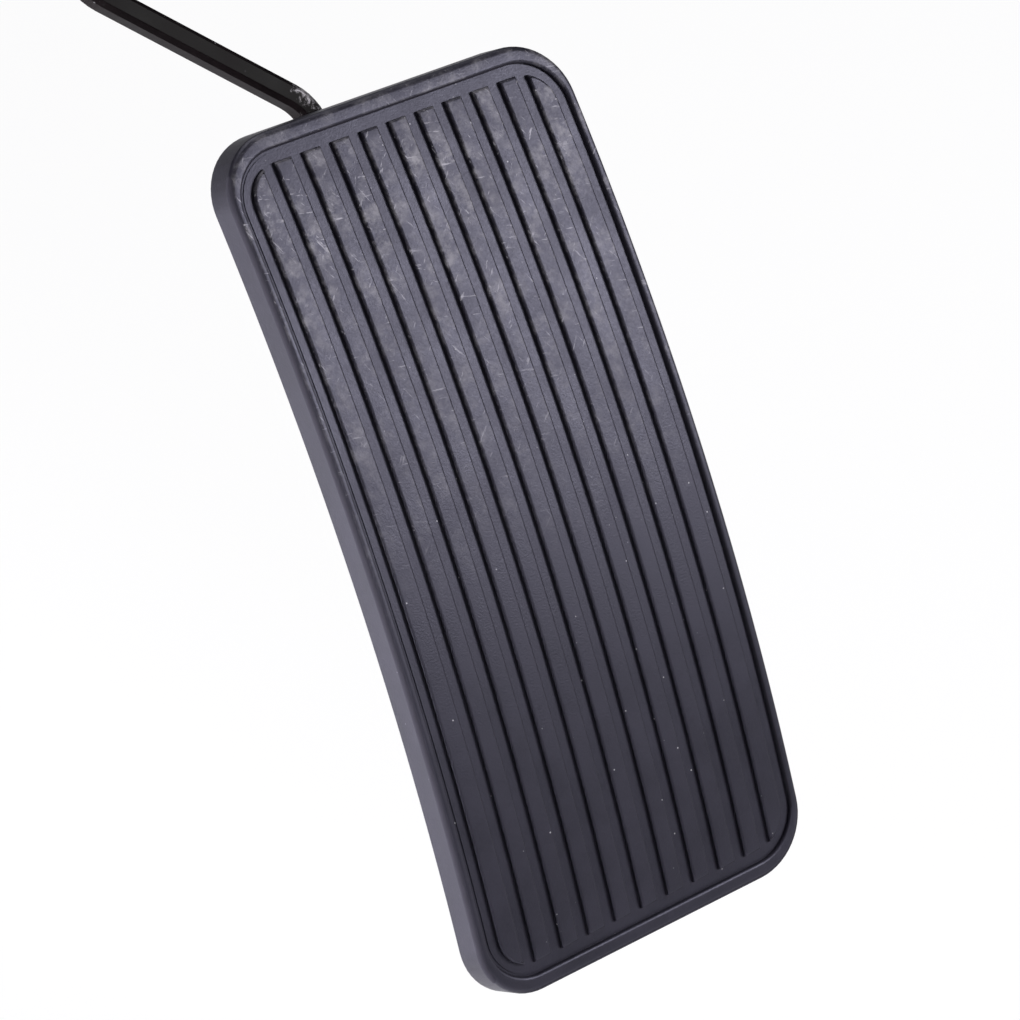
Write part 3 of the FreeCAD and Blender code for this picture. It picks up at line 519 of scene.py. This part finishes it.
def pad_rib(number):
    middle = (number - (rib_count - 1) / 2) * rib_pitch
    low, high = -rim_height - rib_root, rib_height - rim_height
    name = "pad_rib_%d" % (number + 1)
    rib = block(name, rib_field_width, rib_field_length, low, high, rib_corner, rib_corner_steps)
    for side in (-1, 1):
        last = (number == 0 and side < 0) or (number == rib_count - 1 and side > 0)
        if last:
            continue
        bpy.ops.mesh.select_all(action="SELECT")
        bpy.ops.mesh.bisect(
            plane_co=(middle + side * rib_width / 2, 0, 0), plane_no=(side, 0, 0),
            use_fill=True, clear_outer=True,
        )
    select(rib, "EDGE", lambda edge: wall_height(edge) > 0.5 and edge.verts[0].co.z > low / 2)
    bpy.ops.mesh.bevel(offset=rib_round, segments=rib_steps, affect="EDGES")
    slice_along(bow_cuts)
    bpy.ops.object.mode_set(mode="OBJECT")
    return rib


def bow_and_place(piece):
    """Bows the flat pad about an axis behind it, and sets it on the arm."""
    turn = Matrix((pad_right, pad_up, pad_out)).transposed()
    for vert in piece.data.vertices:
        across, along, out = vert.co
        out = math.sqrt((bow_radius + out) ** 2 - along ** 2) - bow_radius
        vert.co = pad_middle + turn @ Vector((across, along, out)) * mm


pad = pad_slab()
ribs = [pad_rib(number) for number in range(rib_count)]
bpy.ops.object.select_all(action="DESELECT")
for piece in ribs + [pad]:
    piece.select_set(True)
bpy.context.view_layer.objects.active = pad
bpy.ops.object.join()
pad.name = "ribbed_pad"
bow_and_place(pad)
bpy.ops.object.select_all(action="DESELECT")
pad.select_set(True)
bpy.ops.object.shade_smooth_by_angle(angle=pad_crease)
bpy.ops.object.modifier_add(type="WEIGHTED_NORMAL")
pad.modifiers[-1].keep_sharp = True
bpy.ops.object.modifier_apply(modifier=pad.modifiers[-1].name)


def tread_rubber():
    # Moulded tread rubber: blue-black and satin, with pale shoe scuffs and dust on the raised faces.
    material, tree, place = finish_named("moulded tread rubber")
    moved = add(tree, "VectorMath", {0: place, 1: pad_middle}, operation="SUBTRACT")
    laid_back = -(math.pi / 2 - pad_lean)
    flat = add(tree, "VectorRotate", {"Vector": moved, "Angle": laid_back}, rotation_type="X_AXIS")
    across, along, out = add(tree, "SeparateXYZ", {"Vector": flat}).outputs
    # shoes rub the upper half: wear grows from the middle up, and fades at the very end
    wear_low, wear_high, wear_end = [share * pad_length * mm for share in (-0.06, 0.42, 0.54)]
    grows = add(tree, "MapRange", {"Value": along, "From Min": wear_low, "From Max": wear_high})
    fades = add(tree, "MapRange", {"Value": along, "From Min": wear_end, "From Max": wear_high})
    climb = add(tree, "Math", {0: grows, 1: fades}, operation="MULTIPLY")
    # height above the rim's top, with the bow taken out: ribs and rim are raised, the field is not
    lifted = add(tree, "Math", {0: out, 1: bow_radius * mm}, operation="ADD")
    along_square = add(tree, "Math", {0: along, 1: along}, operation="MULTIPLY")
    lifted_square = add(tree, "Math", {0: lifted, 1: lifted}, operation="MULTIPLY")
    squares = add(tree, "Math", {0: along_square, 1: lifted_square}, operation="ADD")
    from_axis = add(tree, "Math", {0: squares}, operation="SQRT")
    height = add(tree, "Math", {0: from_axis, 1: bow_radius * mm}, operation="SUBTRACT")
    raised = add(tree, "MapRange", {"Value": height, "From Min": -0.4 * mm, "From Max": -0.1 * mm})
    rubbed = add(tree, "Math", {0: raised, 1: climb}, operation="MULTIPLY")
    # the rubber itself: clouds of 9 mm and a mottle of 0.5 mm
    cloud = add(tree, "TexNoise", {"Vector": flat, "Scale": per_metre(9), "Detail": 6.0, "Roughness": 0.62})
    clouds = add(tree, "MapRange", {"Value": cloud, "From Min": 0.35, "From Max": 0.7})
    tone = add(tree, "Mix", {0: clouds, 6: linear("#111016"), 7: linear("#1a1820")}, data_type="RGBA")
    mottle = add(tree, "TexNoise", {"Vector": flat, "Scale": per_metre(0.5), "Detail": 3.0, "Roughness": 0.6})
    flecks = add(tree, "Math", {0: mottle, 1: 0.35}, operation="MULTIPLY")
    tone = add(tree, "Mix", {0: flecks, 6: tone, 7: linear("#2c2a33")}, data_type="RGBA")
    # smudges in patches of 6 mm
    ground = add(tree, "TexNoise", {"Vector": flat, "Scale": per_metre(6), "Detail": 4.0, "Roughness": 0.6})
    patches = add(tree, "MapRange", {"Value": ground, "From Min": 0.4, "From Max": 0.6})
    smear = add(tree, "TexNoise", {"Vector": flat, "Scale": per_metre(2.2), "Detail": 9.0, "Roughness": 0.76})
    smears = add(tree, "MapRange", {"Value": smear, "From Min": 0.44, "From Max": 0.62})
    smears = add(tree, "Math", {0: smears, 1: patches}, operation="MULTIPLY")
    smudge = add(tree, "Math", {0: smears, 1: rubbed}, operation="MULTIPLY")
    pale = add(tree, "Math", {0: smudge, 1: 0.85}, operation="MULTIPLY")
    tone = add(tree, "Mix", {0: pale, 6: tone, 7: linear("#8e8b90")}, data_type="RGBA")
    # scratches about 0.5 mm wide, in three directions
    for turn, stretch in ((28, 9), (-41, 6), (80, 7)):
        drawn = add(tree, "Mapping", {
            "Vector": flat, "Rotation": (0, 0, math.radians(turn)), "Scale": (1, stretch, 1),
        }, vector_type="TEXTURE")
        line = add(tree, "TexNoise", {
            "Vector": drawn, "Scale": per_metre(0.55), "Detail": 5.0, "Roughness": 0.6,
        })
        scratch = add(tree, "MapRange", {"Value": line, "From Min": 0.64, "From Max": 0.7})
        scratch = add(tree, "Math", {0: scratch, 1: rubbed}, operation="MULTIPLY")
        scratch = add(tree, "Math", {0: scratch, 1: 0.8}, operation="MULTIPLY")
        tone = add(tree, "Mix", {0: scratch, 6: tone, 7: linear("#a3a0a6")}, data_type="RGBA")
    # dust specks of 0.1 to 0.2 mm, a few millimetres apart
    spots = add(tree, "TexVoronoi", {"Vector": flat, "Scale": per_metre(2.4)})
    specks = add(tree, "MapRange", {"Value": spots, "From Min": 0.07, "From Max": 0.03})
    choice = add(tree, "TexNoise", {"Vector": flat, "Scale": per_metre(3), "Detail": 2.0})
    chosen = add(tree, "MapRange", {"Value": choice, "From Min": 0.5, "From Max": 0.56})
    dots = add(tree, "Math", {0: specks, 1: chosen}, operation="MULTIPLY")
    tone = add(tree, "Mix", {0: dots, 6: tone, 7: linear("#a3a1a6")}, data_type="RGBA")
    # painted shade darkens the rim's outer edge, and the edges that turn to the right and down
    lean = add(tree, "TexCoord").outputs["Normal"]
    facing = add(tree, "VectorMath", {0: lean, 1: pad_out}, operation="DOT_PRODUCT")
    right_down = (pad_right - pad_up).normalized()
    sideways = add(tree, "VectorMath", {0: lean, 1: right_down}, operation="DOT_PRODUCT")
    from_middle = add(tree, "Math", {0: across}, operation="ABSOLUTE")
    outside = add(tree, "Math", {0: from_middle, 1: field_width / 2 * mm}, operation="GREATER_THAN")
    turned = add(tree, "MapRange", {"Value": facing, "From Min": 0.95, "From Max": 0.82})
    rim_edge = add(tree, "Math", {0: outside, 1: turned}, operation="MULTIPLY")
    lee_edge = add(tree, "MapRange", {"Value": sideways, "From Min": 0.2, "From Max": 0.36})
    edge = add(tree, "Math", {0: rim_edge, 1: lee_edge}, operation="MAXIMUM")
    upper = add(tree, "MapRange", {"Value": height, "From Min": -1.7 * mm, "From Max": -1.0 * mm})
    edge_shade = add(tree, "Math", {0: edge, 1: upper}, operation="MULTIPLY")
    # the dark colour mixed in here is painted shade on these edges, not dirt
    tone = add(tree, "Mix", {0: edge_shade, 6: tone, 7: linear("#1c1a20")}, data_type="RGBA")
    # satin where clean, duller where mottled, smudged or under the painted edge shade
    satin = add(tree, "Math", {0: cloud, 1: 0.2}, operation="MULTIPLY")
    rough = add(tree, "Math", {0: satin, 1: 0.26}, operation="ADD")
    for dulling, share in ((mottle, 0.16), (smudge, 0.1)):
        dull = add(tree, "Math", {0: dulling, 1: share}, operation="MULTIPLY")
        rough = add(tree, "Math", {0: rough, 1: dull}, operation="ADD")
    matt = add(tree, "Math", {0: edge_shade, 1: 0.9}, operation="MULTIPLY")
    rough = add(tree, "Math", {0: rough, 1: matt}, operation="MAXIMUM")
    # mould grain of about 0.05 mm, drawn at 0.3 mm so that it shows
    grain = add(tree, "TexNoise", {"Vector": flat, "Scale": per_metre(0.3), "Detail": 2.0})
    bump = add(tree, "Bump", {"Height": grain, "Strength": 0.5, "Distance": 0.05 * mm})
    shader = add(tree, "BsdfPrincipled", {
        "Base Color": tone, "Roughness": rough, "Specular Tint": linear("#dad8f4"), "Normal": bump,
    })
    add(tree, "OutputMaterial", {"Surface": shader})
    return material


pad.data.materials.clear()
pad.data.materials.append(tread_rubber())
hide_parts("pad_cover")
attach(pad, "pedal")

# Floor: a plain pale sweep under the hanging pedal.
# It shows white to the camera and still takes the pedal's soft shadow.
floor_drop, floor_side = 0.06, 6.0
bpy.ops.object.select_all(action="DESELECT")
bpy.ops.mesh.primitive_plane_add(size=floor_side, location=(0, 0, cad_box[0].z - floor_drop))
floor = bpy.context.active_object
floor.name = "floor"
bpy.ops.object.transform_apply(location=True, rotation=True, scale=True)


def pale_floor():
    # Matt white paper: it looks white to the camera, and a part of what it shows is the light it gets.
    material, tree, place = finish_named("matt white paper")
    white_share, mirrored_share = 0.86, 0.1
    rays = add(tree, "LightPath").outputs
    mirrored = add(tree, "Math", {0: rays["Is Glossy Ray"], 1: mirrored_share}, operation="MULTIPLY")
    direct = add(tree, "Math", {0: rays["Is Camera Ray"], 1: mirrored}, operation="MAXIMUM")
    seen = add(tree, "Math", {0: direct, 1: rays["Is Transmission Ray"]}, operation="MAXIMUM")
    share = add(tree, "Math", {0: seen, 1: white_share}, operation="MULTIPLY")
    paper = add(tree, "BsdfPrincipled", {"Base Color": linear("#f2f1f5"), "Roughness": 0.9})
    white = add(tree, "Emission", {"Strength": 1.0})
    both = add(tree, "MixShader", {0: share, 1: paper, 2: white})
    add(tree, "OutputMaterial", {"Surface": both})
    return material


floor.data.materials.append(pale_floor())

# Light: a large soft lamp up to the right gives the pad's bowed top its sheen, and a weak one fills the left.
# A broad lamp behind lights the bracket, and a low card on the left lights the pad's side wall.
# The room is a dim pale grey, and white where the camera looks past the floor.
world = bpy.data.worlds.new("studio")
bpy.context.scene.world = world
world.use_nodes = True
sky = world.node_tree
sky.nodes.clear()
rays = add(sky, "LightPath").outputs
seen = add(sky, "Math", {0: rays["Is Camera Ray"], 1: rays["Is Transmission Ray"]}, operation="MAXIMUM")
room = add(sky, "Background", {"Color": linear("#f0f1ff"), "Strength": 0.06})
white = add(sky, "Background", {"Color": linear("#ffffff"), "Strength": 1.0})
both = add(sky, "MixShader", {0: seen, 1: room, 2: white})
add(sky, "OutputWorld", {"Surface": both})


def soft_lamp(name, place, size, power):
    """A square lamp, in metres from the pad's middle, aimed at it."""
    data = bpy.data.lights.new(name, "AREA")
    data.shape = "SQUARE"
    data.size = size
    data.energy = power
    lamp = bpy.data.objects.new(name, data)
    bpy.context.scene.collection.objects.link(lamp)
    lamp.location = pad_middle + Vector(place)
    lamp.rotation_euler = (pad_middle - lamp.location).to_track_quat("-Z", "Y").to_euler()


soft_lamp("key_lamp", (0.68, -0.7, 0.62), 0.45, 12.3)
soft_lamp("left_fill", (-0.32, -0.84, 0.42), 0.35, 2.2)
soft_lamp("back_lamp", (0.1, 0.8, 1.0), 0.9, 8.0)
soft_lamp("low_card", (-0.32, 0.03, -0.09), 0.2, 4.0)

# Camera: up to the left of the pad, turned about its line of sight as the picture is.
# Its place and lens come from a fit to the pad's corners, rim and ribs.
eye_across, eye_up, eye_out = -309.7, 92.3, 501.9
aim_across, aim_up = -5.3, 2.9
camera_roll = math.radians(17.9)
focal_pixels, picture_pixels, sensor = 4035.0, 1020.0, 36.0
eye = on_pad(eye_across, eye_up, eye_out)
sight = (on_pad(aim_across, aim_up, 0) - eye).normalized()
side = sight.cross(pad_up).normalized()
top = side.cross(sight)
lens_up = top * math.cos(camera_roll) + side * math.sin(camera_roll)
lens_right = sight.cross(lens_up)
view = bpy.data.cameras.new("photo_camera")
view.sensor_width = sensor
view.lens = focal_pixels / picture_pixels * sensor
view.clip_start, view.clip_end = 0.01, 50.0
camera = bpy.data.objects.new("photo_camera", view)
bpy.context.scene.collection.objects.link(camera)
camera.matrix_world = Matrix.Translation(eye) @ Matrix((lens_right, lens_up, -sight)).transposed().to_4x4()
bpy.context.scene.camera = camera
bpy.context.scene.view_settings.view_transform = "Standard"
